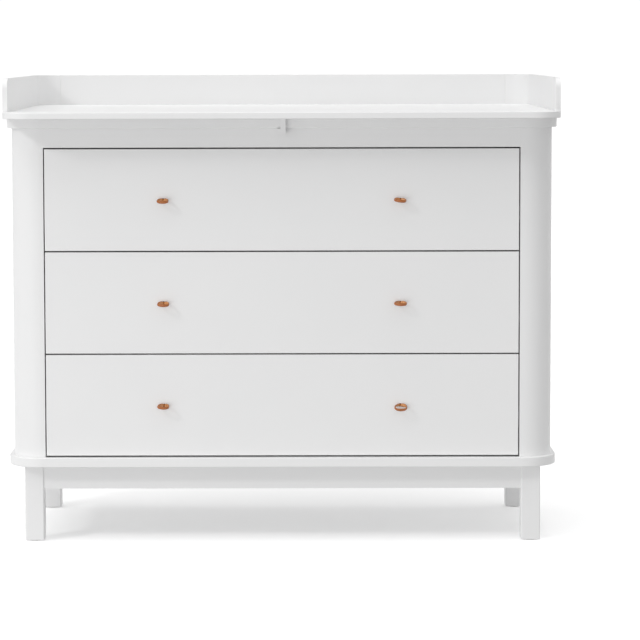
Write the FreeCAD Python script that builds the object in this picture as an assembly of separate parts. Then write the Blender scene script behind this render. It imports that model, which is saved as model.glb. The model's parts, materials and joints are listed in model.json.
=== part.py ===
import FreeCAD, Part
import math
import os

# Changing table: a wide three-drawer cabinet on four square legs, with a deeper
# changing top that hooks over its front edge. Millimetres, +Z up, front at -Y.
# Origin: on the floor, under the middle of the changing top.

os.makedirs("parts", exist_ok=True)
V = FreeCAD.Vector

# ---- driving dimensions -------------------------------------------------------

TOP_WIDTH = 1150.0            # changing top, cabinet top and base plate alike
BOARD_DEPTH = 750.0           # changing board, front to back
BOARD_THICK = 14.0
CORNER_R = 60.0               # plan radius of the board, the rim and the cabinet posts
RIM_HEIGHT = 69.0             # rim above the board
RIM_THICK = 10.0
RIM_END_R = 24.0              # rounded upper front corner of each rim side
RIM_REBATE = 3.0              # depth the rim is let into the board
PAD_THICK = 1.0               # anti-slip pads between the two tops

BODY_WIDTH = 1130.0
BODY_DEPTH = 462.0
BODY_FRONT = -290.0           # plane of the drawer fronts
LIP = 12.0                    # cabinet top and base plate stand out all round by this
PLATE_THICK = 20.0
CABINET_TOP_Z = 886.0         # upper face of the cabinet top
BASE_TOP_Z = 179.0            # upper face of the base plate
PANEL = 20.0                  # side panels, drawer fronts, rail
OPENING_HALF = 495.0          # half width between the posts
BACK_PANEL = 6.0
RUNNER_PANEL_THICK = 18.0     # upright inner boards that carry the runners

FRONT_HEIGHT = 211.5          # one drawer front
FRONT_GAP = 3.0               # between fronts, and under the rail
BOTTOM_GAP = 3.5              # under the lowest front
SIDE_GAP = 2.5                # beside every front

LEG = 40.0                    # square legs
LEG_INNER = 500.0             # inner faces of the legs, from the middle
LEG_FRONT_Y = -278.0          # front faces of the front legs
LEG_PITCH = 398.0             # front leg to rear leg
LEG_ROUND = 3.0               # rounded upright edges
GLIDE_THICK = 2.0
GLIDE_R = 15.0
APRON_HEIGHT = 48.5
APRON_THICK = 18.0
APRON_INSET = 3.0             # aprons stand back from the faces of the legs

BOX_WALL = 12.0               # drawer sides and backs
BOX_HEIGHT = 160.0
BOX_LIFT = 14.0               # box above the lower edge of its front
BOX_BACK_Y = 132.0
BOX_BOTTOM = 6.0
GROOVE = 6.0                  # depth of the grooves that hold the drawer bottoms
GROOVE_LIFT = 10.0            # groove above the lower edge of the box
FRONT_EASE = 1.0              # rounding of the face edges of a drawer front

RUNNER_DEPTH = 12.8           # runner, from cabinet to drawer side
RUNNER_STEEL = 1.2
RUNNER_HALF = 17.5            # half height of the cabinet member
RUNNER_PLAY = 0.3             # between nested members
RUNNER_LENGTH = 398.0
RUNNER_RISE = 62.0            # runner centre above the lower edge of its box
RUNNER_SETBACK = 2.0          # runners start behind the drawer fronts by this

PULL_X = 246.0                # leather pulls, from the middle
STRAP_WIDE = 6.0
STRAP_THICK = 2.5
TAIL_WIDE = 4.8               # the strap narrows where it passes the drawer front
PULL_HOLE_R = 3.6
LOOP_OUT = 14.2               # outer bends of a loop, in front of the drawer
LOOP_SPREAD = 3.6             # and from the middle of the pull
LOOP_BEND_R = 9.0
LOOP_THROAT_R = 3.6           # bend where the two strands leave the hole
LOOP_THROAT_OUT = 1.0
KNOT_WIDE = 13.0
KNOT_HIGH = 10.0
KNOT_THICK = 7.0

STOP_X = (-2.5, 8.5)          # stem of the hook under the front of the board
FOOT_X = (-9.0, 8.5)          # its foot, which reaches under the lip of the cabinet top
FOOT_HEIGHT = 13.0
FOOT_ROUND = 5.0
FOOT_REACH = 8.0
STOP_DEPTH = 12.0
STOP_PLAY = 0.5
STOP_SCREW_SEAT = 8.0         # screw head above the under side of the foot

SCREW_R = 2.0
SCREW_HEAD_R = 4.0
SCREW_HEAD = 2.5
SCREW_LENGTH = 36.0
RUNNER_SCREW_R = 1.75
RUNNER_SCREW_LENGTH = 14.0
BOLT_R = 4.0
BOLT_HEAD_R = 8.0
BOLT_HEAD = 5.0
BOLT_LENGTH = 70.0
DOWEL_R = 4.0
BOX_DOWEL_R = 3.0
FIT = 0.05                    # radial clearance of round fasteners in their holes
EASE = 2.0                    # eased edges of visible boards
RIM_EASE = 1.5
SEAM_EASE = 0.8              # flat on each upright edge where rim side and rim back meet
REAR_CORNER_R = 8.0           # rear plan corners of the cabinet top and base plate

# ---- fastener spacing ------------------------------------------------------------

PANEL_DOWEL_YS = (-180.0, -60.0, 60.0, 130.0)
PANEL_DOWEL = 30.0            # length
RAIL_DOWEL_INSET = 11.0       # from the rail's edges
RAIL_DOWEL = 18.0
BASE_SCREW_YS = (-220.0, -120.0, 0.0, 95.0)
BACK_SCREW_ZS = (230.0, 380.0, 530.0, 680.0, 820.0)
APRON_END_RISES = (-12.0, 12.0)
APRON_END_DOWEL = 24.0
APRON_SIDE_RISES = (-18.0, 18.0)
APRON_SIDE_DOWEL = 20.0
RIM_SIDE_SCREW_YS = (-270.0, -90.0, 90.0, 270.0)
RIM_BACK_SCREW_XS = (-440.0, -220.0, 0.0, 220.0, 440.0)
RUNNER_SCREW_YS = (-230.0, -60.0, 110.0)
BOX_DOWEL_RISES = (35.0, 80.0, 125.0)
BOX_FRONT_DOWEL = 24.0
BOX_BACK_DOWEL = 16.0
PAD_XS = (-480.0, 0.0, 480.0)
PAD_YS = (-240.0, 120.0)
PAD_R = 20.0

# ---- worked-out places ----------------------------------------------------------

TOP_HALF = TOP_WIDTH / 2
BODY_HALF = BODY_WIDTH / 2
BODY_BACK = BODY_FRONT + BODY_DEPTH
PLATE_FRONT = BODY_FRONT - LIP
PLATE_BACK = BODY_BACK + LIP
PLATE_CORNER_R = CORNER_R + LIP
CABINET_UNDER_Z = CABINET_TOP_Z - PLATE_THICK
BASE_UNDER_Z = BASE_TOP_Z - PLATE_THICK
BOARD_Z = CABINET_TOP_Z + PAD_THICK
SURFACE_Z = BOARD_Z + BOARD_THICK
RAIL_Z = BASE_TOP_Z + BOTTOM_GAP + 3 * (FRONT_HEIGHT + FRONT_GAP)
FRONT_BACK_Y = BODY_FRONT + PANEL
BOX_HALF = OPENING_HALF - RUNNER_DEPTH
REAR_LEG_Y = LEG_FRONT_Y + LEG_PITCH
CARCASS_BACK_Y = BODY_BACK - BACK_PANEL
BOARD_HALF_DEPTH = BOARD_DEPTH / 2
RIM_SEAM_X = TOP_HALF - CORNER_R
RIM_END_Y = -BOARD_HALF_DEPTH + CORNER_R
RIM_TOP_Z = SURFACE_Z + RIM_HEIGHT
RUNNER_PANEL_MID = OPENING_HALF + RUNNER_PANEL_THICK / 2
SIDE_MID = BODY_HALF - PANEL / 2
LEG_MID = LEG_INNER + LEG / 2
APRON_MID_Z = BASE_UNDER_Z - APRON_HEIGHT / 2

X = V(1, 0, 0)
Y = V(0, 1, 0)
Z = V(0, 0, 1)

# droop below level and sideways tilt of each soft pull, in degrees
PULLS = {
    "drawer_1_pull_left": (-1, 1, 9.0, 0.0),
    "drawer_1_pull_right": (1, 1, 3.0, 9.0),
    "drawer_2_pull_left": (-1, 2, 8.0, 2.0),
    "drawer_2_pull_right": (1, 2, 6.0, 2.0),
    "drawer_3_pull_left": (-1, 3, 7.0, 2.5),
    "drawer_3_pull_right": (1, 3, 20.0, 1.0),
}


# ---- helpers --------------------------------------------------------------------

def box(x0, x1, y0, y1, z0, z1):
    return Part.makeBox(x1 - x0, y1 - y0, z1 - z0, V(x0, y0, z0))


def rod(centre, axis, radius, length):
    return Part.makeCylinder(radius, length, centre, axis)


def cut_all(shape, tools):
    return shape.cut(Part.Compound(tools)) if tools else shape


def mirror_x(shape):
    return shape.mirror(V(0, 0, 0), V(1, 0, 0))


def arc(centre, radius, from_deg, to_deg):
    """Arc in plan, from one angle to the other, either way round."""
    angles = (from_deg, (from_deg + to_deg) / 2, to_deg)
    points = []
    for angle in angles:
        a = math.radians(angle)
        points.append(V(centre[0] + radius * math.cos(a), centre[1] + radius * math.sin(a), 0))
    return Part.Arc(*points).toShape()


def line(a, b):
    return Part.makeLine(V(a[0], a[1], 0), V(b[0], b[1], 0))


def slab(edges, z0, height):
    """Upright solid on a closed plan outline."""
    face = Part.Face(Part.Wire(edges))
    face.translate(V(0, 0, z0))
    return face.extrude(V(0, 0, height))


def ease_level_edges(shape, levels, radius):
    """Round every edge that lies in one of the given level planes."""
    edges = []
    for edge in shape.Edges:
        ends = edge.BoundBox
        if ends.ZLength < 1e-4 and any(abs(ends.ZMin - z) < 1e-3 for z in levels):
            edges.append(edge)
    return shape.makeFillet(radius, edges)


def plan_board(half, y0, y1, z0, z1, r_front, r_back):
    """Board with round plan corners and eased edges above and below."""
    edges = [
        line((-half + r_front, y0), (half - r_front, y0)),
        arc((half - r_front, y0 + r_front), r_front, -90, 0),
        line((half, y0 + r_front), (half, y1 - r_back)),
        arc((half - r_back, y1 - r_back), r_back, 0, 90),
        line((half - r_back, y1), (-half + r_back, y1)),
        arc((-half + r_back, y1 - r_back), r_back, 90, 180),
        line((-half, y1 - r_back), (-half, y0 + r_front)),
        arc((-half + r_front, y0 + r_front), r_front, 180, 270),
    ]
    return ease_level_edges(slab(edges, z0, z1 - z0), (z0, z1), EASE)


def bent_panel(half, thick, y_end, y_face, x_end, z0, z1):
    """Right-hand panel along +X that bends once, from y_end to the face y_face.

    The bend may be at the front (y_face below y_end) or at the back."""
    to_end = 1 if y_end > y_face else -1
    r_out = CORNER_R
    r_in = CORNER_R - thick
    cx = half - CORNER_R
    cy = y_face + to_end * CORNER_R
    corner_deg = -90 * to_end
    edges = [
        line((half, y_end), (half, cy)),
        arc((cx, cy), r_out, 0, corner_deg),
        line((cx, y_face), (x_end, y_face)) if x_end < cx else None,
        line((x_end, y_face), (x_end, y_face + to_end * thick)),
        line((x_end, y_face + to_end * thick), (cx, y_face + to_end * thick)) if x_end < cx else None,
        arc((cx, cy), r_in, corner_deg, 0),
        line((half - thick, cy), (half - thick, y_end)),
        line((half - thick, y_end), (half, y_end)),
    ]
    return slab([edge for edge in edges if edge], z0, z1 - z0)


def screw(seat, axis):
    """Countersunk wood screw; seat is the outer face that its head lies level with."""
    head = rod(seat, axis, SCREW_HEAD_R, SCREW_HEAD)
    shank = rod(seat, axis, SCREW_R, SCREW_LENGTH)
    return head.fuse(shank).removeSplitter()


def screw_hole(seat, axis):
    head = rod(seat, axis, SCREW_HEAD_R + FIT, SCREW_HEAD)
    shank = rod(seat, axis, SCREW_R + FIT, SCREW_LENGTH + FIT)
    return head.fuse(shank)


def dowel(centre, axis, length, radius=DOWEL_R, play=0.0):
    """Round peg, or with play its hole, centred on the joint."""
    start = centre - axis * (length / 2 + play)
    return rod(start, axis, radius + play, length + 2 * play)


# ---- fastener places ---------------------------------------------------------------

def carcass_dowel_places():
    places = []
    for side in (-1, 1):
        for x in (SIDE_MID, RUNNER_PANEL_MID):
            for y in PANEL_DOWEL_YS:
                for z in (CABINET_UNDER_Z, BASE_TOP_Z):
                    places.append((V(side * x, y, z), Z, PANEL_DOWEL))
        for z in (RAIL_Z + RAIL_DOWEL_INSET, CABINET_UNDER_Z - RAIL_DOWEL_INSET):
            places.append((V(side * OPENING_HALF, BODY_FRONT + PANEL / 2, z), X, RAIL_DOWEL))
    return places


def carcass_screw_places():
    places = []
    for side in (-1, 1):
        for y in BASE_SCREW_YS:
            places.append((V(side * RUNNER_PANEL_MID, y, BASE_UNDER_Z), Z))
        for z in BACK_SCREW_ZS:
            places.append((V(side * RUNNER_PANEL_MID, BODY_BACK, z), -Y))
    return places


def leg_centres():
    return [
        V(side * LEG_MID, y + LEG / 2, 0)
        for side in (-1, 1)
        for y in (LEG_FRONT_Y, REAR_LEG_Y)
    ]


def apron_dowel_places():
    inset = APRON_INSET + APRON_THICK / 2
    side_x = LEG_INNER + LEG - inset
    places = []
    for side in (-1, 1):
        for y in (LEG_FRONT_Y + inset, REAR_LEG_Y + LEG - inset):
            for rise in APRON_END_RISES:
                places.append((V(side * LEG_INNER, y, APRON_MID_Z + rise), X, APRON_END_DOWEL))
        for y in (LEG_FRONT_Y + LEG, REAR_LEG_Y):
            for rise in APRON_SIDE_RISES:
                places.append((V(side * side_x, y, APRON_MID_Z + rise), Y, APRON_SIDE_DOWEL))
    return places


def rim_screw_places():
    side_x = TOP_HALF - RIM_THICK / 2
    back_y = BOARD_HALF_DEPTH - RIM_THICK / 2
    seats = [V(side * side_x, y, BOARD_Z) for side in (-1, 1) for y in RIM_SIDE_SCREW_YS]
    seats += [V(x, back_y, BOARD_Z) for x in RIM_BACK_SCREW_XS]
    return [(seat, Z) for seat in seats]


# ---- cabinet ---------------------------------------------------------------------------

def cabinet_boards():
    parts = {}
    parts["cabinet_top"] = plan_board(
        TOP_HALF, PLATE_FRONT, PLATE_BACK, CABINET_UNDER_Z, CABINET_TOP_Z,
        PLATE_CORNER_R, REAR_CORNER_R)
    parts["base_plate"] = plan_board(
        TOP_HALF, PLATE_FRONT, PLATE_BACK, BASE_UNDER_Z, BASE_TOP_Z,
        PLATE_CORNER_R, REAR_CORNER_R)
    side = bent_panel(BODY_HALF, PANEL, BODY_BACK, BODY_FRONT, OPENING_HALF,
                      BASE_TOP_Z, CABINET_UNDER_Z)
    parts["side_panel_right"] = side
    parts["side_panel_left"] = mirror_x(side)
    runner_panel = box(OPENING_HALF, OPENING_HALF + RUNNER_PANEL_THICK, FRONT_BACK_Y,
                       CARCASS_BACK_Y, BASE_TOP_Z, CABINET_UNDER_Z).cut(side)
    parts["runner_panel_right"] = runner_panel
    parts["runner_panel_left"] = mirror_x(runner_panel)
    parts["top_rail"] = box(-OPENING_HALF, OPENING_HALF, BODY_FRONT, FRONT_BACK_Y,
                            RAIL_Z, CABINET_UNDER_Z)
    inner_half = BODY_HALF - PANEL
    parts["back_panel"] = box(-inner_half, inner_half, CARCASS_BACK_Y, BODY_BACK,
                              BASE_TOP_Z, CABINET_UNDER_Z)
    return parts


def legs():
    names = ("leg_front_left", "leg_rear_left", "leg_front_right", "leg_rear_right")
    parts = {}
    for name, centre in zip(names, leg_centres()):
        half = LEG / 2
        leg = box(centre.x - half, centre.x + half, centre.y - half, centre.y + half,
                  GLIDE_THICK, BASE_UNDER_Z)
        upright = [edge for edge in leg.Edges if edge.BoundBox.ZLength > LEG]
        parts[name] = ease_level_edges(leg.makeFillet(LEG_ROUND, upright), (GLIDE_THICK,), 1.0)
    glides = [rod(centre, Z, GLIDE_R, GLIDE_THICK) for centre in leg_centres()]
    parts["foot_glides"] = Part.Compound(glides)
    return parts


def aprons():
    z0 = BASE_UNDER_Z - APRON_HEIGHT
    front_y = LEG_FRONT_Y + APRON_INSET
    back_y = REAR_LEG_Y + LEG - APRON_INSET
    outer_x = LEG_INNER + LEG - APRON_INSET
    parts = {}
    parts["apron_front"] = box(-LEG_INNER, LEG_INNER, front_y, front_y + APRON_THICK,
                               z0, BASE_UNDER_Z)
    parts["apron_back"] = box(-LEG_INNER, LEG_INNER, back_y - APRON_THICK, back_y,
                              z0, BASE_UNDER_Z)
    side = box(outer_x - APRON_THICK, outer_x, LEG_FRONT_Y + LEG, REAR_LEG_Y,
               z0, BASE_UNDER_Z)
    parts["apron_right"] = side
    parts["apron_left"] = mirror_x(side)
    return parts


def leg_bolt(centre, hole=False):
    """Flat-headed bolt, down through the base plate into the top of a leg."""
    play = FIT if hole else 0.0
    top = V(centre.x, centre.y, BASE_TOP_Z)
    head = rod(top, -Z, BOLT_HEAD_R + play, BOLT_HEAD)
    shank = rod(top, -Z, BOLT_R + play, BOLT_LENGTH + play)
    return head.fuse(shank).removeSplitter()


# ---- runners ---------------------------------------------------------------------------

def channel(web_x, mouth_x, half, z_mid, y0, y1):
    """Right-hand steel channel; its web is at web_x and it opens towards mouth_x."""
    side = 1 if mouth_x > web_x else -1
    steel = RUNNER_STEEL
    web = box(min(web_x, web_x + side * steel), max(web_x, web_x + side * steel),
              y0, y1, z_mid - half, z_mid + half)
    low, high = sorted((web_x, mouth_x))
    upper = box(low, high, y0, y1, z_mid + half - steel, z_mid + half)
    lower = box(low, high, y0, y1, z_mid - half, z_mid - half + steel)
    return web.fuse([upper, lower]).removeSplitter()


def drawer_floor_z(number):
    """Lower edge of a drawer front; drawer 1 is the uppermost."""
    return BASE_TOP_Z + BOTTOM_GAP + (3 - number) * (FRONT_HEIGHT + FRONT_GAP)


def runner_mid_z(number):
    return drawer_floor_z(number) + BOX_LIFT + RUNNER_RISE


def runner_members(number):
    """Cabinet, middle and drawer members of one right-hand runner, as a tuple."""
    z_mid = runner_mid_z(number)
    y0 = FRONT_BACK_Y + RUNNER_SETBACK
    y1 = y0 + RUNNER_LENGTH
    inner_x = OPENING_HALF - RUNNER_DEPTH
    step = RUNNER_STEEL + RUNNER_PLAY
    cabinet = channel(OPENING_HALF, inner_x + step, RUNNER_HALF, z_mid, y0, y1)
    middle = channel(OPENING_HALF - step, inner_x + step, RUNNER_HALF - step, z_mid, y0, y1)
    drawer = channel(inner_x, OPENING_HALF - 2 * step, RUNNER_HALF - 2 * step, z_mid, y0, y1)
    return cabinet, middle, drawer


def runner_screw(number, y, hole=False):
    """Small screw that holds a cabinet member to its runner panel, right-hand side."""
    play = FIT if hole else 0.0
    seat = V(OPENING_HALF - RUNNER_STEEL, y, runner_mid_z(number))
    return rod(seat, X, RUNNER_SCREW_R + play, RUNNER_SCREW_LENGTH + play)


def both_sides(shapes):
    return shapes + [mirror_x(shape) for shape in shapes]


# ---- leather pulls -----------------------------------------------------------------------

def tangent_points(a, b):
    """Where the outer straight run from circle a to circle b leaves and arrives.

    Circles are (x, y, r); the outline is walked with the shape on its left."""
    dx, dy = b[0] - a[0], b[1] - a[1]
    length = math.hypot(dx, dy)
    lean = math.asin((a[2] - b[2]) / length)
    heading = math.atan2(dy, dx) - math.pi / 2 + lean
    nx, ny = math.cos(heading), math.sin(heading)
    return (a[0] + a[2] * nx, a[1] + a[2] * ny), (b[0] + b[2] * nx, b[1] + b[2] * ny)


def round_loop(circles, z0, height):
    """Upright solid whose plan is the outline stretched round the given circles."""
    count = len(circles)
    runs = [tangent_points(circles[i], circles[(i + 1) % count]) for i in range(count)]
    edges = []
    for i in range(count):
        leave, arrive = runs[i]
        edges.append(line(leave, arrive))
        x, y, r = circles[(i + 1) % count]
        start = math.atan2(arrive[1] - y, arrive[0] - x)
        after = runs[(i + 1) % count][0]
        end = math.atan2(after[1] - y, after[0] - x)
        while end < start:
            end += 2 * math.pi
        edges.append(arc((x, y), r, math.degrees(start), math.degrees(end)))
    return slab(edges, z0, height)


def pull(side, number, droop, tilt):
    """One strap, doubled into a loop; its ends pass the front and are knotted behind."""
    circles = [
        (0.0, -LOOP_THROAT_OUT, LOOP_THROAT_R),
        (-LOOP_SPREAD, -LOOP_OUT, LOOP_BEND_R),
        (LOOP_SPREAD, -LOOP_OUT, LOOP_BEND_R),
    ]
    inside = [(x, y, r - STRAP_THICK) for x, y, r in circles]
    ring = round_loop(circles, -STRAP_WIDE / 2, STRAP_WIDE)
    ring = ring.cut(round_loop(inside, -STRAP_WIDE, 2 * STRAP_WIDE))
    ring.translate(V(0, -LOOP_THROAT_R, 0))
    ring.rotate(V(0, 0, 0), X, droop)
    ring.rotate(V(0, 0, 0), Y, tilt)
    tail = box(-STRAP_THICK, STRAP_THICK, -LOOP_THROAT_R, PANEL, -TAIL_WIDE / 2, TAIL_WIDE / 2)
    knot = box(-KNOT_WIDE / 2, KNOT_WIDE / 2, PANEL, PANEL + KNOT_THICK,
               -KNOT_HIGH / 2, KNOT_HIGH / 2)
    shape = ring.fuse([tail, knot]).removeSplitter()
    middle_z = drawer_floor_z(number) + FRONT_HEIGHT / 2
    shape.translate(V(side * PULL_X, BODY_FRONT, middle_z))
    return shape


# ---- drawers -------------------------------------------------------------------------------

def drawer_dowel_places(number):
    z0 = drawer_floor_z(number) + BOX_LIFT
    front_x = BOX_HALF - BOX_WALL / 2
    back_x = BOX_HALF - BOX_WALL
    back_y = BOX_BACK_Y - BOX_WALL / 2
    places = []
    for side in (-1, 1):
        for rise in BOX_DOWEL_RISES:
            z = z0 + rise
            places.append((V(side * front_x, FRONT_BACK_Y, z), Y, BOX_FRONT_DOWEL, BOX_DOWEL_R))
            places.append((V(side * back_x, back_y, z), X, BOX_BACK_DOWEL, BOX_DOWEL_R))
    return places


def drawer_front(number, z0):
    """Front board; the edges of its face are rounded a little."""
    half = OPENING_HALF - SIDE_GAP
    front = box(-half, half, BODY_FRONT, FRONT_BACK_Y, z0, z0 + FRONT_HEIGHT)
    face_edges = []
    for edge in front.Edges:
        ends = edge.BoundBox
        if ends.YLength < 1e-4 and abs(ends.YMin - BODY_FRONT) < 1e-3:
            face_edges.append(edge)
    front = front.makeFillet(FRONT_EASE, face_edges)
    middle_z = z0 + FRONT_HEIGHT / 2
    holes = [rod(V(x, BODY_FRONT, middle_z), Y, PULL_HOLE_R, PANEL) for x in (-PULL_X, PULL_X)]
    return cut_all(front, holes)


def drawer(number):
    z0 = drawer_floor_z(number)
    box_z = z0 + BOX_LIFT
    top_z = box_z + BOX_HEIGHT
    floor_z = box_z + GROOVE_LIFT
    inner = BOX_HALF - BOX_WALL
    name = "drawer_%d_" % number

    side = box(inner, BOX_HALF, FRONT_BACK_Y, BOX_BACK_Y, box_z, top_z)
    back = box(-inner, inner, BOX_BACK_Y - BOX_WALL, BOX_BACK_Y, box_z, top_z)
    bottom = box(-inner - GROOVE, inner + GROOVE, FRONT_BACK_Y - GROOVE,
                 BOX_BACK_Y - BOX_WALL + GROOVE, floor_z, floor_z + BOX_BOTTOM)
    places = drawer_dowel_places(number)
    cuts = [dowel(*place, play=FIT) for place in places] + [bottom]
    parts = {}
    parts[name + "front"] = cut_all(drawer_front(number, z0), cuts)
    parts[name + "side_right"] = cut_all(side, cuts)
    parts[name + "side_left"] = cut_all(mirror_x(side), cuts)
    parts[name + "back"] = cut_all(back, cuts)
    parts[name + "bottom"] = bottom
    parts[name + "dowels"] = Part.Compound([dowel(*place) for place in places])
    parts[name + "runners"] = Part.Compound(both_sides([runner_members(number)[2]]))
    return parts


# ---- changing top ----------------------------------------------------------------------------

def front_stop():
    stem_back = PLATE_FRONT - STOP_PLAY
    foot_top = CABINET_UNDER_Z - STOP_PLAY
    foot_z = foot_top - FOOT_HEIGHT
    stem = box(STOP_X[0], STOP_X[1], stem_back - STOP_DEPTH, stem_back, foot_top, BOARD_Z)
    foot = box(FOOT_X[0], FOOT_X[1], stem_back - STOP_DEPTH, stem_back + FOOT_REACH,
               foot_z, foot_top)
    lower = [
        edge for edge in foot.Edges
        if edge.BoundBox.YLength > STOP_DEPTH and abs(edge.BoundBox.ZMin - foot_z) < 1e-3
    ]
    foot = foot.makeFillet(FOOT_ROUND, lower)
    seat = V(sum(STOP_X) / 2, stem_back - STOP_DEPTH / 2, foot_z + STOP_SCREW_SEAT)
    access = rod(V(seat.x, seat.y, foot_z), Z, SCREW_HEAD_R + FIT, STOP_SCREW_SEAT)
    body = stem.fuse(foot).removeSplitter()
    return cut_all(body, [screw_hole(seat, Z), access]), seat


def rim_side_outline():
    """Solid as wide as the top whose side view is a rim side with its round corner."""
    y1 = BOARD_HALF_DEPTH + 1.0
    z0 = BOARD_Z
    r = RIM_END_R
    bend_in = r * (1 - math.sqrt(0.5))
    bend = V(0, RIM_END_Y + bend_in, RIM_TOP_Z - bend_in)
    points = [V(0, RIM_END_Y, RIM_TOP_Z - r), V(0, RIM_END_Y, z0), V(0, y1, z0),
              V(0, y1, RIM_TOP_Z), V(0, RIM_END_Y + r, RIM_TOP_Z)]
    edges = [Part.makeLine(points[i], points[i + 1]) for i in range(4)]
    edges.append(Part.Arc(points[4], bend, points[0]).toShape())
    face = Part.Face(Part.Wire(edges))
    face.translate(V(-TOP_HALF - 1.0, 0, 0))
    return face.extrude(V(TOP_WIDTH + 2.0, 0, 0))


def seam_grooves(x):
    """Upright cutters that ease the rim joint at x, one on the inner and one on the outer face."""
    half = SEAM_EASE / math.sqrt(2)
    grooves = []
    for y in (BOARD_HALF_DEPTH - RIM_THICK, BOARD_HALF_DEPTH):
        groove = box(-half, half, -half, half, BOARD_Z, RIM_TOP_Z + 1.0)
        groove.rotate(V(0, 0, 0), Z, 45)
        groove.translate(V(x, y, 0))
        grooves.append(groove)
    return grooves


def rim_pieces():
    """Right side, left side and back of the rim, let into the board, their joints eased."""
    foot_z = SURFACE_Z - RIM_REBATE
    side = bent_panel(TOP_HALF, RIM_THICK, RIM_END_Y, BOARD_HALF_DEPTH, RIM_SEAM_X, foot_z, RIM_TOP_Z)
    side = ease_level_edges(side, (RIM_TOP_Z,), RIM_EASE)
    side = cut_all(side.common(rim_side_outline()), seam_grooves(RIM_SEAM_X))
    back = box(-RIM_SEAM_X, RIM_SEAM_X, BOARD_HALF_DEPTH - RIM_THICK, BOARD_HALF_DEPTH,
               foot_z, RIM_TOP_Z)
    long_upper = [
        edge for edge in back.Edges
        if edge.BoundBox.XLength > RIM_SEAM_X and abs(edge.BoundBox.ZMin - RIM_TOP_Z) < 1e-3
    ]
    back = back.makeFillet(RIM_EASE, long_upper)
    back = cut_all(back, seam_grooves(RIM_SEAM_X) + seam_grooves(-RIM_SEAM_X))
    return side, mirror_x(side), back


def changing_board(screw_holes):
    """Deep board with a rebate along three sides, a little wider than the rim."""
    board = plan_board(TOP_HALF, -BOARD_HALF_DEPTH, BOARD_HALF_DEPTH, BOARD_Z, SURFACE_Z,
                       CORNER_R, CORNER_R)
    wide = RIM_THICK + FIT
    foot_z = SURFACE_Z - RIM_REBATE
    side = bent_panel(TOP_HALF, wide, RIM_END_Y, BOARD_HALF_DEPTH, RIM_SEAM_X, foot_z, SURFACE_Z)
    back = box(-RIM_SEAM_X, RIM_SEAM_X, BOARD_HALF_DEPTH - wide, BOARD_HALF_DEPTH,
               foot_z, SURFACE_Z)
    return cut_all(board, [side, mirror_x(side), back] + screw_holes)


def changing_top():
    stop, stop_seat = front_stop()
    places = rim_screw_places() + [(stop_seat, Z)]
    holes = [screw_hole(*place) for place in places]
    rim_right, rim_left, rim_back = rim_pieces()
    pad_places = [V(x, y, CABINET_TOP_Z + FIT) for x in PAD_XS for y in PAD_YS]
    pads = [rod(place, Z, PAD_R, PAD_THICK - FIT) for place in pad_places]
    return {
        "changing_board": changing_board(holes),
        "rim_right": cut_all(rim_right, holes),
        "rim_left": cut_all(rim_left, holes),
        "rim_back": cut_all(rim_back, holes),
        "front_stop": stop,
        "changing_top_screws": Part.Compound([screw(*place) for place in places]),
        "top_pads": Part.Compound(pads),
    }


# ---- assembly ------------------------------------------------------------------------------------

def cabinet():
    """Every fixed piece of the cabinet, drilled for the fasteners that pass through it."""
    runner_places = [(number, y) for number in (1, 2, 3) for y in RUNNER_SCREW_YS]
    dowels = carcass_dowel_places()
    screws = carcass_screw_places()
    apron_dowels = apron_dowel_places()
    dowel_holes = [dowel(*place, play=FIT) for place in dowels]
    screw_holes = [screw_hole(*place) for place in screws]
    bolt_holes = [leg_bolt(centre, True) for centre in leg_centres()]
    apron_holes = [dowel(*place, play=FIT) for place in apron_dowels]
    runner_holes = both_sides([runner_screw(number, y, True) for number, y in runner_places])
    drilled = {
        "cabinet_top": dowel_holes,
        "side_panel": dowel_holes,
        "top_rail": dowel_holes,
        "base_plate": dowel_holes + screw_holes + bolt_holes,
        "back_panel": screw_holes,
        "runner_panel": dowel_holes + screw_holes + runner_holes,
        "leg": bolt_holes + apron_holes,
        "apron": apron_holes,
    }

    parts = cabinet_boards()
    parts.update(legs())
    parts.update(aprons())
    for name in parts:
        for start, holes in drilled.items():
            if name.startswith(start):
                parts[name] = cut_all(parts[name], holes)

    members = both_sides([runner_members(number)[0] for number in (1, 2, 3)])
    parts["cabinet_runners"] = Part.Compound([cut_all(member, runner_holes) for member in members])
    parts["runner_screws"] = Part.Compound(both_sides([runner_screw(*place) for place in runner_places]))
    parts["carcass_dowels"] = Part.Compound([dowel(*place) for place in dowels])
    parts["carcass_screws"] = Part.Compound([screw(*place) for place in screws])
    parts["apron_dowels"] = Part.Compound([dowel(*place) for place in apron_dowels])
    parts["leg_bolts"] = Part.Compound([leg_bolt(centre) for centre in leg_centres()])
    return parts


def main():
    parts = cabinet()
    parts.update(changing_top())
    for number in (1, 2, 3):
        parts.update(drawer(number))
        middle = both_sides([runner_members(number)[1]])
        parts["middle_runners_%d" % number] = Part.Compound(middle)
    for name, (side, number, droop, tilt) in PULLS.items():
        parts[name] = pull(side, number, droop, tilt)
    for name, shape in parts.items():
        shape.exportStep("parts/%s.step" % name)
    print(len(parts), "nodes written")


main()
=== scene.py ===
import json
import math

import bmesh
import bpy
from mathutils import Matrix, Vector


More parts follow.
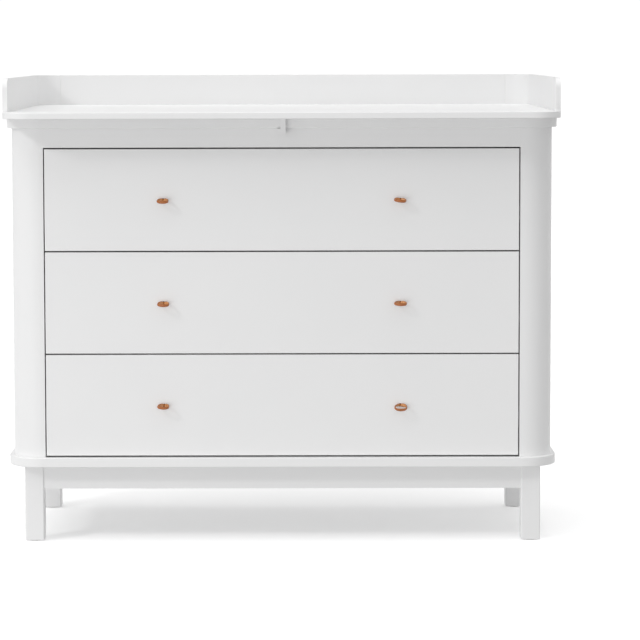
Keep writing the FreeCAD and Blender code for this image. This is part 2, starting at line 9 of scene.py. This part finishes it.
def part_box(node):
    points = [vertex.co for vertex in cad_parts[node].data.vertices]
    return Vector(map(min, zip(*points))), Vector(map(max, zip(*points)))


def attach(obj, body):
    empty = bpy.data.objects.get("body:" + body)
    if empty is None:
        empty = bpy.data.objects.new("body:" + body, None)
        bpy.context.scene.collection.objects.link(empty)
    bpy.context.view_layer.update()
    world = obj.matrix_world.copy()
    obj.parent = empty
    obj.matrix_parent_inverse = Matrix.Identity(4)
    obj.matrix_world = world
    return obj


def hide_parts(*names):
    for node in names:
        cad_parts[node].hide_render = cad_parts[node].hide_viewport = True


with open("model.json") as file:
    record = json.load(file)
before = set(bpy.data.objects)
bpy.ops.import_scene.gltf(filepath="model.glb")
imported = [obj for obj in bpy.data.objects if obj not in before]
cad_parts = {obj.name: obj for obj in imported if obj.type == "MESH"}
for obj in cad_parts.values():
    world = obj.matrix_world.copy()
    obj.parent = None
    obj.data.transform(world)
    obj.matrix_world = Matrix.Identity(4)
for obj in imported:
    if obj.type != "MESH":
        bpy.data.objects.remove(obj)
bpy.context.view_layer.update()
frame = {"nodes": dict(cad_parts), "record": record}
NODES = frame["nodes"]
MM = 0.001

# ---- camera -------------------------------------------------------------------------

IMAGE = 640.0                      # pixels, both ways
FOCAL = 2620.0                     # pixels
SENSOR = 36.0                      # mm
CAMERA_AT = (0.0255, -5.716, 1.032)
CAMERA_TURN = 0.00424              # to the left, radians
CAMERA_DOWN = 0.0745               # below level, radians
CAMERA_ROLL = -0.00249             # radians
SHIFT_X = 0.0578                   # shares of the image width
SHIFT_Y = -0.120


def make_camera():
    data = bpy.data.cameras.new("camera")
    data.sensor_width = SENSOR
    data.lens = FOCAL * SENSOR / IMAGE
    data.shift_x = SHIFT_X
    data.shift_y = SHIFT_Y
    camera = bpy.data.objects.new("camera", data)
    bpy.context.scene.collection.objects.link(camera)
    turn = Matrix.Rotation(CAMERA_TURN, 4, "Z")
    down = Matrix.Rotation(math.pi / 2 - CAMERA_DOWN, 4, "X")
    roll = Matrix.Rotation(CAMERA_ROLL, 4, "Z")
    camera.matrix_world = Matrix.Translation(CAMERA_AT) @ turn @ down @ roll
    bpy.context.scene.camera = camera


# ---- node helpers -------------------------------------------------------------------

class Graph:
    """Small wrapper that adds nodes to one material and links them."""

    def __init__(self, name):
        self.material = bpy.data.materials.new(name)
        self.material.use_nodes = True
        self.tree = self.material.node_tree
        self.shader = self.tree.nodes["Principled BSDF"]

    def add(self, kind, inputs=None, **settings):
        node = self.tree.nodes.new(kind)
        for key, value in settings.items():
            setattr(node, key, value)
        for key, value in (inputs or {}).items():
            self.put(node.inputs[key], value)
        return node

    def put(self, socket, value):
        if isinstance(value, bpy.types.NodeSocket):
            self.tree.links.new(value, socket)
        else:
            socket.default_value = value

    def set(self, **values):
        for key, value in values.items():
            self.put(self.shader.inputs[key.replace("_", " ")], value)

    def place(self, scale=(1.0, 1.0, 1.0)):
        """Place on the piece in metres, stretched by scale."""
        coords = self.add("ShaderNodeTexCoord")
        mapping = self.add("ShaderNodeMapping", {
            "Vector": coords.outputs["Object"], "Scale": scale})
        return mapping.outputs["Vector"]

    def noise(self, scale, detail=2.0, rough=0.5, where=None, distortion=0.0):
        node = self.add("ShaderNodeTexNoise", {
            "Vector": where or self.place(), "Scale": scale, "Detail": detail,
            "Roughness": rough, "Distortion": distortion})
        return node.outputs["Fac"]

    def cells(self, scale, feature="F1"):
        node = self.add("ShaderNodeTexVoronoi", {
            "Vector": self.place(), "Scale": scale}, feature=feature)
        return node.outputs["Distance"]

    def spread(self, value, low, high, to_low=0.0, to_high=1.0):
        """value, taken from low..high to to_low..to_high and held there."""
        node = self.add("ShaderNodeMapRange", {
            "Value": value, "From Min": low, "From Max": high, "To Min": to_low, "To Max": to_high})
        return node.outputs["Result"]

    def math(self, operation, a, b=0.0):
        node = self.add("ShaderNodeMath", operation=operation)
        self.put(node.inputs[0], a)
        self.put(node.inputs[1], b)
        return node.outputs["Value"]

    def blend(self, factor, a, b):
        node = self.add("ShaderNodeMix", data_type="RGBA")
        self.put(node.inputs["Factor"], factor)
        self.put(node.inputs["A"], a)
        self.put(node.inputs["B"], b)
        return node.outputs["Result"]

    def bump(self, height, distance, strength, onto=None):
        node = self.add("ShaderNodeBump", {
            "Height": height, "Distance": distance, "Strength": strength})
        if onto is not None:
            self.put(node.inputs["Normal"], onto)
        return node.outputs["Normal"]


def rgb(r, g, b):
    return (r, g, b, 1.0)


# ---- materials ----------------------------------------------------------------------

WORN_EDGE = 0.0022                 # width of the thinner lacquer along an edge
PLY_OFFSET = 20.0                  # keeps the ply count above zero
LONG_GRAIN = 26.0                  # stretch of the wood figure, across the grain
ALONG_GRAIN = 1.6
PORES = 900.0                      # the same for the pores
ALONG_PORES = 22.0


def edge_mask(g, radius):
    """1 close to an edge of the piece and 0 on its faces."""
    bevel = g.add("ShaderNodeBevel", {"Radius": radius}, samples=3)
    geometry = g.add("ShaderNodeNewGeometry")
    dot = g.add("ShaderNodeVectorMath", operation="DOT_PRODUCT")
    g.put(dot.inputs[0], bevel.outputs["Normal"])
    g.put(dot.inputs[1], geometry.outputs["Normal"])
    return g.spread(dot.outputs["Value"], 0.99, 0.80)


def white_lacquer():
    """Satin lacquer, sprayed: faint orange peel, faint cloudiness, eased edges a touch thinner."""
    g = Graph("white_lacquer")
    cloud = g.noise(3.5, 3.0, 0.6)
    spray = g.noise(620.0, 2.0, 0.5)
    dust = g.spread(g.cells(75.0), 0.0, 0.035)
    edge = edge_mask(g, WORN_EDGE)
    tone = g.blend(g.spread(cloud, 0.3, 0.7), rgb(0.872, 0.873, 0.875), rgb(0.888, 0.888, 0.888))
    tone = g.blend(g.spread(spray, 0.3, 0.7, 0.0, 0.35), tone, rgb(0.897, 0.897, 0.895))
    tone = g.blend(g.math("MULTIPLY", edge, 0.35), tone, rgb(0.83, 0.825, 0.81))
    tone = g.blend(g.spread(dust, 0.0, 1.0, 0.10, 0.0), tone, rgb(0.66, 0.64, 0.61))
    rough = g.spread(g.noise(9.0, 4.0, 0.6), 0.3, 0.7, 0.36, 0.46)
    peel = g.bump(spray, 0.00005, 0.5)
    g.set(Base_Color=tone, Roughness=rough, Normal=g.bump(cloud, 0.004, 0.06, peel))
    g.set(IOR=1.48)
    return g.material


def leather(name, low, high, grain, rough):
    """Cognac leather. grain is the depth of its pebbles, and low, high are its tones."""
    g = Graph(name)
    blotch = g.noise(140.0, 3.0, 0.6)
    pebble = g.cells(1500.0, feature="SMOOTH_F1")
    fibre = g.noise(900.0, 4.0, 0.7, where=g.place((1.0, 1.0, 3.0)))
    tone = g.blend(g.spread(blotch, 0.3, 0.7), rgb(*low), rgb(*high))
    dark = rgb(*(0.6 * c for c in low))
    tone = g.blend(g.spread(pebble, 0.0, 0.45, 0.45, 0.0), tone, dark)
    tone = g.blend(g.spread(fibre, 0.55, 0.8, 0.0, 0.4), tone, dark)
    g.set(Base_Color=tone, Roughness=g.spread(blotch, 0.3, 0.7, rough - 0.06, rough + 0.06))
    g.set(Normal=g.bump(pebble, grain, 0.35, g.bump(fibre, grain / 2, 0.4)))
    return g.material


def along_axis(axis, along, others):
    """Scale that is along on one axis and others on the other two."""
    return tuple(along if i == axis else others for i in range(3))


def pull_leathers():
    """Grain side, cut edge and flesh side of the pulls' leather."""
    return (
        leather("cognac_leather", (0.38, 0.108, 0.020), (0.50, 0.162, 0.036), 0.00005, 0.20),
        leather("cognac_leather_cut", (0.26, 0.076, 0.018), (0.38, 0.12, 0.034), 0.0001, 0.4),
        leather("cognac_leather_flesh", (0.54, 0.22, 0.075), (0.74, 0.35, 0.13), 0.00005, 0.24),
    )


def plywood(name, grain, across, thickness, plies, start):
    """Birch plywood: long grain on its faces, alternate plies where it is cut.

    grain and across are axis numbers, of the face grain and of the thickness, and start
    is where the thickness begins."""
    g = Graph(name)
    figure = g.noise(2.2, 5.0, 0.62, where=g.place(along_axis(grain, ALONG_GRAIN, LONG_GRAIN)),
                     distortion=0.8)
    pores = g.noise(1.0, 2.0, 0.5, where=g.place(along_axis(grain, ALONG_PORES, PORES)))
    face = g.blend(g.spread(figure, 0.35, 0.65), rgb(0.62, 0.46, 0.28), rgb(0.76, 0.60, 0.40))
    face = g.blend(g.spread(pores, 0.55, 0.75, 0.0, 0.35), face, rgb(0.46, 0.31, 0.17))

    split = g.add("ShaderNodeSeparateXYZ", {"Vector": g.place()})
    depth = g.math("SUBTRACT", split.outputs[across], start)
    wobble = g.math("MULTIPLY", g.math("SUBTRACT", g.noise(40.0), 0.5), 0.0004)
    ply = g.math("MULTIPLY", g.math("ADD", depth, wobble), plies / thickness)
    count = g.math("ADD", ply, PLY_OFFSET)
    odd = g.math("MODULO", g.math("FLOOR", count), 2.0)
    end = g.noise(700.0, 3.0, 0.7)
    light = g.blend(end, rgb(0.66, 0.49, 0.30), rgb(0.78, 0.62, 0.42))
    dark = g.blend(end, rgb(0.34, 0.21, 0.11), rgb(0.50, 0.34, 0.19))
    core = g.blend(odd, light, dark)
    glue = g.math("ABSOLUTE", g.math("SUBTRACT", g.math("FRACT", count), 0.5))
    core = g.blend(g.spread(glue, 0.44, 0.5, 0.0, 0.6), core, rgb(0.20, 0.12, 0.07))

    geometry = g.add("ShaderNodeNewGeometry")
    normal = g.add("ShaderNodeSeparateXYZ", {"Vector": geometry.outputs["Normal"]})
    on_face = g.math("GREATER_THAN", g.math("ABSOLUTE", normal.outputs[across]), 0.6)
    tone = g.blend(on_face, core, face)
    g.set(Base_Color=tone, Roughness=g.spread(pores, 0.3, 0.7, 0.45, 0.58),
          Normal=g.bump(pores, 0.00008, 0.4))
    return g.material


def beech():
    g = Graph("beech_dowel")
    flecks = g.noise(1.0, 3.0, 0.6, where=g.place((500.0, 500.0, 500.0)))
    rings = g.noise(1.0, 2.0, 0.5, where=g.place((90.0, 90.0, 90.0)))
    tone = g.blend(g.spread(rings, 0.3, 0.7), rgb(0.55, 0.36, 0.20), rgb(0.70, 0.50, 0.31))
    tone = g.blend(g.spread(flecks, 0.58, 0.7, 0.0, 0.5), tone, rgb(0.36, 0.20, 0.10))
    g.set(Base_Color=tone, Roughness=g.spread(rings, 0.3, 0.7, 0.6, 0.75),
          Normal=g.bump(flecks, 0.0001, 0.4))
    return g.material


def zinc_steel():
    """Zinc-plated steel: rolled along its length, cloudy, with faint yellow-blue passivation."""
    g = Graph("zinc_steel")
    rolled = g.noise(1.0, 3.0, 0.6, where=g.place((1400.0, 18.0, 1400.0)))
    cloud = g.noise(45.0, 4.0, 0.65)
    tone = g.blend(g.spread(cloud, 0.3, 0.7), rgb(0.56, 0.58, 0.62), rgb(0.70, 0.69, 0.66))
    tone = g.blend(g.spread(rolled, 0.35, 0.65, 0.0, 0.4), tone, rgb(0.80, 0.80, 0.80))
    rough = g.math("ADD", g.spread(cloud, 0.3, 0.7, 0.22, 0.34),
                   g.spread(rolled, 0.3, 0.7, 0.0, 0.1))
    g.set(Base_Color=tone, Roughness=rough, Normal=g.bump(rolled, 0.00003, 0.4))
    g.set(Metallic=1.0)
    return g.material


def glide_plastic():
    g = Graph("glide_plastic")
    scuff = g.noise(260.0, 4.0, 0.7)
    speck = g.noise(1800.0, 1.0, 0.5)
    tone = g.blend(g.spread(scuff, 0.5, 0.75), rgb(0.66, 0.66, 0.64), rgb(0.45, 0.44, 0.42))
    g.set(Base_Color=tone, Roughness=g.spread(scuff, 0.3, 0.7, 0.45, 0.65),
          Normal=g.bump(speck, 0.00004, 0.5))
    return g.material


def pad_rubber():
    g = Graph("pad_rubber")
    dimple = g.cells(420.0)
    tone = g.blend(g.spread(dimple, 0.2, 0.6), rgb(0.36, 0.36, 0.34), rgb(0.46, 0.46, 0.44))
    g.set(Base_Color=tone, Roughness=g.spread(g.noise(90.0), 0.3, 0.7, 0.7, 0.85),
          Normal=g.bump(dimple, 0.0002, 0.6))
    return g.material


def floor_finish(name, glow):
    g = Graph(name)
    weave = g.noise(30.0, 2.0, 0.5)
    tone = g.blend(g.spread(weave, 0.3, 0.7), rgb(0.915, 0.915, 0.917), rgb(0.925, 0.925, 0.925))
    g.set(Base_Color=tone, Roughness=0.85)
    g.set(Emission_Color=rgb(1.0, 1.0, 1.0), Emission_Strength=glow)
    g.shader.inputs["Specular IOR Level"].default_value = 0.1
    return g.material


# ---- mesh helpers -------------------------------------------------------------------

STRAP_POINTS = 16                  # points round a strap's outline
STRAP_SQUARENESS = 2.15            # 2 is an ellipse, more is squarer
CUT_SHARE = 0.8                    # beyond this share of the half width, the cut edge shows
GRAIN, CUT, FLESH = 0, 1, 2        # material numbers of the three leathers


def smooth_line(points, per_span, closed=False):
    """Catmull-Rom line through the points."""
    count = len(points)
    spans = count if closed else count - 1

    def at(i):
        return Vector(points[i % count] if closed else points[max(0, min(count - 1, i))])

    line = []
    for span in range(spans):
        a, b, c, d = (at(span + k) for k in (-1, 0, 1, 2))
        for step in range(per_span):
            t = step / per_span
            line.append(0.5 * (2 * b + (c - a) * t + (2 * a - 5 * b + 4 * c - d) * t * t
                               + (3 * b - a - 3 * c + d) * t ** 3))
    if not closed:
        line.append(at(count - 1))
    return line


def strap_section(wide, thick):
    """Closed outline of a strap's cut end, its faces a little domed, as (across, through) pairs."""
    power = 2 / STRAP_SQUARENESS
    outline = []
    for k in range(STRAP_POINTS):
        a = 2 * math.pi * (k + 0.5) / STRAP_POINTS
        u, v = math.cos(a), math.sin(a)
        outline.append((wide / 2 * math.copysign(abs(u) ** power, u),
                        thick / 2 * math.copysign(abs(v) ** power, v)))
    return outline


def strap_faces():
    """Which leather each side of that outline shows."""
    faces = []
    for k in range(STRAP_POINTS):
        a = 2 * math.pi * (k + 1) / STRAP_POINTS
        if abs(math.cos(a)) > CUT_SHARE:
            faces.append(CUT)
        else:
            faces.append(GRAIN if math.sin(a) > 0 else FLESH)
    return tuple(faces)


def sweep(name, line, across, section, closed=False, faces=(), widths=None):
    """Strap along line; across gives the direction of its width at each point.

    faces gives the material number of each side of the section, and widths how wide
    the strap is at each point, as a share of the section."""
    mesh = bmesh.new()
    rings = []
    count = len(line)
    for i, point in enumerate(line):
        before = line[i - 1] if closed or i else line[0]
        after = line[(i + 1) % count] if closed or i < count - 1 else line[-1]
        along = (after - before).normalized()
        wide = (across[i] - along * across[i].dot(along)).normalized()
        through = along.cross(wide)
        share = widths[i] if widths else 1.0
        rings.append([mesh.verts.new(point + wide * u * share + through * v) for u, v in section])
    size = len(section)
    for i in range(count if closed else count - 1):
        one, two = rings[i], rings[(i + 1) % count]
        for k in range(size):
            face = mesh.faces.new((one[k], one[(k + 1) % size], two[(k + 1) % size], two[k]))
            face.material_index = faces[k] if faces else GRAIN
            face.smooth = True
    if not closed:
        for ring, flip in ((rings[0], True), (rings[-1], False)):
            face = mesh.faces.new(reversed(ring) if flip else ring)
            face.material_index = CUT
    bmesh.ops.recalc_face_normals(mesh, faces=mesh.faces)
    return finish_mesh(name, mesh)


def finish_mesh(name, mesh):
    data = bpy.data.meshes.new(name)
    mesh.to_mesh(data)
    mesh.free()
    piece = bpy.data.objects.new(name, data)
    bpy.context.scene.collection.objects.link(piece)
    return piece


# ---- leather pulls ------------------------------------------------------------------

PULL_X = 246.0                     # middle of each pull from the middle of its drawer
STRAP_WIDE = 6.4
STRAP_THICK = 2.8
# half of the loop in plan, from behind the drawer front outwards: (across, out, share of the width)
LOOP_HALF = (
    (1.42, -21.0, 0.90), (1.42, -12.0, 0.90), (1.42, -3.0, 0.92), (1.45, -0.6, 0.96),
    (2.6, 1.6, 1.08), (6.0, 3.3, 1.14), (9.3, 6.4, 0.98), (11.1, 11.4, 0.78),
    (10.8, 16.8, 0.76), (7.8, 21.4, 0.90), (2.7, 23.4, 1.0),
)
STRAP_SIDES = strap_faces()
# droop below level, sideways tilt, spread of the loop, swing to one side; degrees but the spread
PULL_SET = {
    "drawer_1_pull_left": (8.0, 1.0, 0.985, -2.0),
    "drawer_1_pull_right": (5.0, 7.0, 1.03, -3.0),
    "drawer_2_pull_left": (8.0, 2.0, 1.0, -2.0),
    "drawer_2_pull_right": (6.0, 2.0, 1.07, 1.0),
    "drawer_3_pull_left": (7.0, 2.5, 1.005, -7.0),
    "drawer_3_pull_right": (21.0, 1.0, 1.08, 5.0),
}
TWIST = 32.0                       # lean of the strap where it leaves the hole, degrees
TWIST_ENDS = 16.0                  # how far out that lean is gone
ARCH = 0.8                         # how far the strap rises before it droops
ARCH_ENDS = 14.0                   # how far out that rise is over
FREE_FROM = 4.0                    # how far out the strap hangs freely
KNOT_AT = 24.6                     # middle of the knot behind the face of the drawer front
KNOT_WIDE = 2.15                   # half sizes of the knot's windings
KNOT_HIGH = 1.75
KNOT_DEEP = 1.15
KNOT_LOBES = 1.25                  # share of the second turn that crosses the first
KNOT_STEPS = 54


def ease_in(value):
    value = max(0.0, min(1.0, value))
    return value * value * (3 - 2 * value)


def pull_centre(node):
    """Middle of the hole in the drawer front that the pull passes through."""
    front_lo, front_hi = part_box(node.split("_pull")[0] + "_front")
    side = -1 if node.endswith("left") else 1
    return Vector((side * PULL_X * MM, front_lo.y, (front_lo.z + front_hi.z) / 2))


def loop_strap(node, leathers, droop, tilt, spread, swing):
    left_half = [(-x, out, share) for x, out, share in LOOP_HALF]
    plan = left_half + list(reversed(LOOP_HALF))
    line, across, widths = [], [], []
    for x, out, share in smooth_line(plan, 6):
        out_of_hole = ease_in(out / FREE_FROM)
        x *= 1 + (spread - 1) * out_of_hole
        out *= 1 + (1 - spread) * out_of_hole
        bend = Matrix.Rotation(math.radians(droop) * out_of_hole, 3, "X")
        roll = Matrix.Rotation(math.radians(tilt) * out_of_hole, 3, "Y")
        turn = roll @ bend @ Matrix.Rotation(math.radians(swing) * out_of_hole, 3, "Z")
        rise = ARCH * math.sin(math.pi * min(1.0, max(0.0, out / ARCH_ENDS)))
        line.append(turn @ Vector((x, -out, rise)))
        lean = math.radians(TWIST) * (1 - ease_in(out / TWIST_ENDS))
        twist = Matrix.Rotation(lean, 3, "Y")
        across.append(turn @ twist @ Vector((0, 0, 1)))
        widths.append(share)
    section = strap_section(STRAP_WIDE, STRAP_THICK)
    piece = sweep(node + "_strap", line, across, section, faces=STRAP_SIDES, widths=widths)
    settle(piece, node, leathers)
    return piece


def settle(piece, node, leathers):
    """Scale a piece made in millimetres, put it at its pull and let it ride on its drawer."""
    piece.data.transform(Matrix.Translation(pull_centre(node)) @ Matrix.Scale(MM, 4))
    for finish in leathers:
        piece.data.materials.append(finish)
    subdivide = piece.modifiers.new("round", "SUBSURF")
    subdivide.levels = 1
    subdivide.render_levels = 1
    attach(piece, node.split("_pull")[0])


def knot(node, leathers):
    """Overhand knot of the doubled strap, pulled tight; knot_end makes its two short ends."""
    line, across = [], []
    for i in range(KNOT_STEPS):
        t = 2 * math.pi * i / KNOT_STEPS
        x = KNOT_WIDE * (math.sin(t) + KNOT_LOBES * math.sin(2 * t))
        z = KNOT_HIGH * (math.cos(t) - KNOT_LOBES * math.cos(2 * t))
        y = -KNOT_DEEP * math.sin(3 * t)
        line.append(Vector((x, KNOT_AT + y, z)))
        across.append(Vector((0.35 * math.cos(t), 1.0, 0.35 * math.sin(t))))
    piece = sweep(node + "_knot", line, across, strap_section(3.6, 2.3), closed=True)
    settle(piece, node, leathers)


def knot_end(node, leathers, side):
    line = smooth_line([(side * 2.0, KNOT_AT, 0.5), (side * 3.6, KNOT_AT + 1.2, 2.6),
                        (side * 5.2, KNOT_AT + 0.9, 4.6)], 5)
    across = [Vector((0.0, 1.0, 0.2))] * len(line)
    name = node + ("_end_a" if side < 0 else "_end_b")
    piece = sweep(name, line, across, strap_section(3.8, 2.2), faces=STRAP_SIDES)
    settle(piece, node, leathers)


def make_pulls():
    leathers = pull_leathers()
    for node, shape in PULL_SET.items():
        strap = loop_strap(node, leathers, *shape)
        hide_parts(node)
        knot(node, leathers)
        knot_end(node, leathers, -1)
        knot_end(node, leathers, 1)


# ---- finishes of the CAD nodes ------------------------------------------------------

# plywood boards of each drawer: piece, axis of the grain, axis of the thickness, plies
DRAWER_BOARDS = (("side_left", 1, 0, 9), ("side_right", 1, 0, 9), ("back", 0, 1, 9), ("bottom", 0, 2, 5))


def paint(material, *names):
    for name in names:
        slots = NODES[name].data.materials
        slots.clear()
        slots.append(material)


def paint_everything():
    by_slot = {
        "white_lacquer": white_lacquer(),
        "zinc_steel": zinc_steel(),
        "beech_dowel": beech(),
        "glide_plastic": glide_plastic(),
        "pad_rubber": pad_rubber(),
    }
    for part in frame["record"]["subparts"]:
        if part["material_slot"] in by_slot:
            paint(by_slot[part["material_slot"]], part["node"])
    for number in (1, 2, 3):
        drawer = "drawer_%d_" % number
        for piece, grain, across, plies in DRAWER_BOARDS:
            node = drawer + piece
            lo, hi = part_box(node)
            thickness = hi[across] - lo[across]
            paint(plywood(node, grain, across, thickness, plies, lo[across]), node)


# ---- studio -------------------------------------------------------------------------

FLOOR_GLOW = 0.285                 # lifts the floor to the white of the backdrop
FLOOR_SIZE = 60.0
SHADED_GLOW = 0.06
SHADED_MIDDLE = (0.0, 0.0, -0.003)
SHADED_SIZE = (1.44, 0.56)         # the shaded part of the floor, under the cabinet
LIGHTS_FACE = (0.0, 0.0, 0.4)
# place, size, watts
AREA_LIGHTS = {
    "softbox_left": ((-4.3, -3.8, 1.9), (4.5, 2.8), 18.0),
    "key_left": ((-4.6, -3.6, 4.2), (0.8, 0.8), 70.0),
    "floor_bounce": ((-2.5, -5.0, -0.8), (4.0, 2.0), 52.0),
}
SUN_DIRECTION = (0.15, 0.12, -1.0)
SUN_SPREAD = 70.0                  # degrees
SUN_STRENGTH = 1.47
BACKDROP = 1.05                    # white that the camera sees behind the floor
SKY = (0.38, 0.69)                 # light from above, at the far left and the far right
BOUNCE = (0.62, 0.34)              # light that the lit floor sends up, the same way
HORIZON = 0.08                     # half height of the soft change between the two


def flat_sheet(name, middle, size, finish):
    mesh = bmesh.new()
    bmesh.ops.create_grid(mesh, x_segments=8, y_segments=8, size=0.5)
    bmesh.ops.scale(mesh, vec=(*size, 1.0), verts=mesh.verts)
    bmesh.ops.translate(mesh, vec=middle, verts=mesh.verts)
    sheet = finish_mesh(name, mesh)
    sheet.data.materials.append(finish)
    return sheet


def make_floor():
    """Wide floor, and the shaded part of it under the cabinet.

    The wide one is left out of the diffuse light on the object and blocks no light. The
    shaded one takes its place in that light, and the camera doesn't see it."""
    floor = flat_sheet("studio_floor", (0.0, 0.0, 0.0), (FLOOR_SIZE, FLOOR_SIZE),
                       floor_finish("studio_floor", FLOOR_GLOW))
    floor.visible_diffuse = False
    floor.visible_shadow = False
    shaded = flat_sheet("shaded_floor", SHADED_MIDDLE, SHADED_SIZE,
                        floor_finish("shaded_floor", SHADED_GLOW))
    shaded.visible_camera = False


def soft_light(name, at, size, watts):
    data = bpy.data.lights.new(name, "AREA")
    data.shape = "RECTANGLE"
    data.size, data.size_y = size
    data.energy = watts
    light = bpy.data.objects.new(name, data)
    bpy.context.scene.collection.objects.link(light)
    light.location = at
    light.rotation_euler = (Vector(LIGHTS_FACE) - Vector(at)).to_track_quat("-Z", "Y").to_euler()


def soft_sun():
    data = bpy.data.lights.new("overhead", "SUN")
    data.energy = SUN_STRENGTH
    data.angle = math.radians(SUN_SPREAD)
    light = bpy.data.objects.new("overhead", data)
    bpy.context.scene.collection.objects.link(light)
    light.rotation_euler = Vector(SUN_DIRECTION).to_track_quat("-Z", "Y").to_euler()


def make_sky():
    """Soft light all round, stronger to the right above and to the left below; the camera itself sees
    plain white.
    """
    world = bpy.data.worlds.new("studio")
    bpy.context.scene.world = world
    world.use_nodes = True
    tree = world.node_tree
    background = tree.nodes["Background"]
    background.inputs["Color"].default_value = rgb(1.0, 1.0, 1.0)
    coords = tree.nodes.new("ShaderNodeTexCoord")
    split = tree.nodes.new("ShaderNodeSeparateXYZ")
    tree.links.new(coords.outputs["Generated"], split.inputs["Vector"])

    def ramp(axis, low, high, to_low, to_high):
        node = tree.nodes.new("ShaderNodeMapRange")
        for name, value in (("From Min", low), ("From Max", high)):
            node.inputs[name].default_value = value
        for name, value in (("To Min", to_low), ("To Max", to_high)):
            if isinstance(value, bpy.types.NodeSocket):
                tree.links.new(value, node.inputs[name])
            else:
                node.inputs[name].default_value = value
        tree.links.new(split.outputs[axis], node.inputs["Value"])
        return node.outputs["Result"]

    below = ramp("X", -1.0, 1.0, *BOUNCE)
    above = ramp("X", -1.0, 1.0, *SKY)
    light = ramp("Z", -HORIZON, HORIZON, below, above)
    tree.links.new(light, background.inputs["Strength"])
    white = tree.nodes.new("ShaderNodeBackground")
    white.inputs["Color"].default_value = rgb(1.0, 1.0, 1.0)
    white.inputs["Strength"].default_value = BACKDROP
    path = tree.nodes.new("ShaderNodeLightPath")
    mix = tree.nodes.new("ShaderNodeMixShader")
    tree.links.new(path.outputs["Is Camera Ray"], mix.inputs[0])
    tree.links.new(background.outputs[0], mix.inputs[1])
    tree.links.new(white.outputs[0], mix.inputs[2])
    tree.links.new(mix.outputs[0], tree.nodes["World Output"].inputs["Surface"])


def make_studio():
    make_floor()
    make_sky()
    for name, (at, size, watts) in AREA_LIGHTS.items():
        soft_light(name, at, size, watts)
    soft_sun()
    bpy.context.scene.view_settings.view_transform = "Standard"


# ---- build --------------------------------------------------------------------------

paint_everything()
make_pulls()
make_studio()
make_camera()
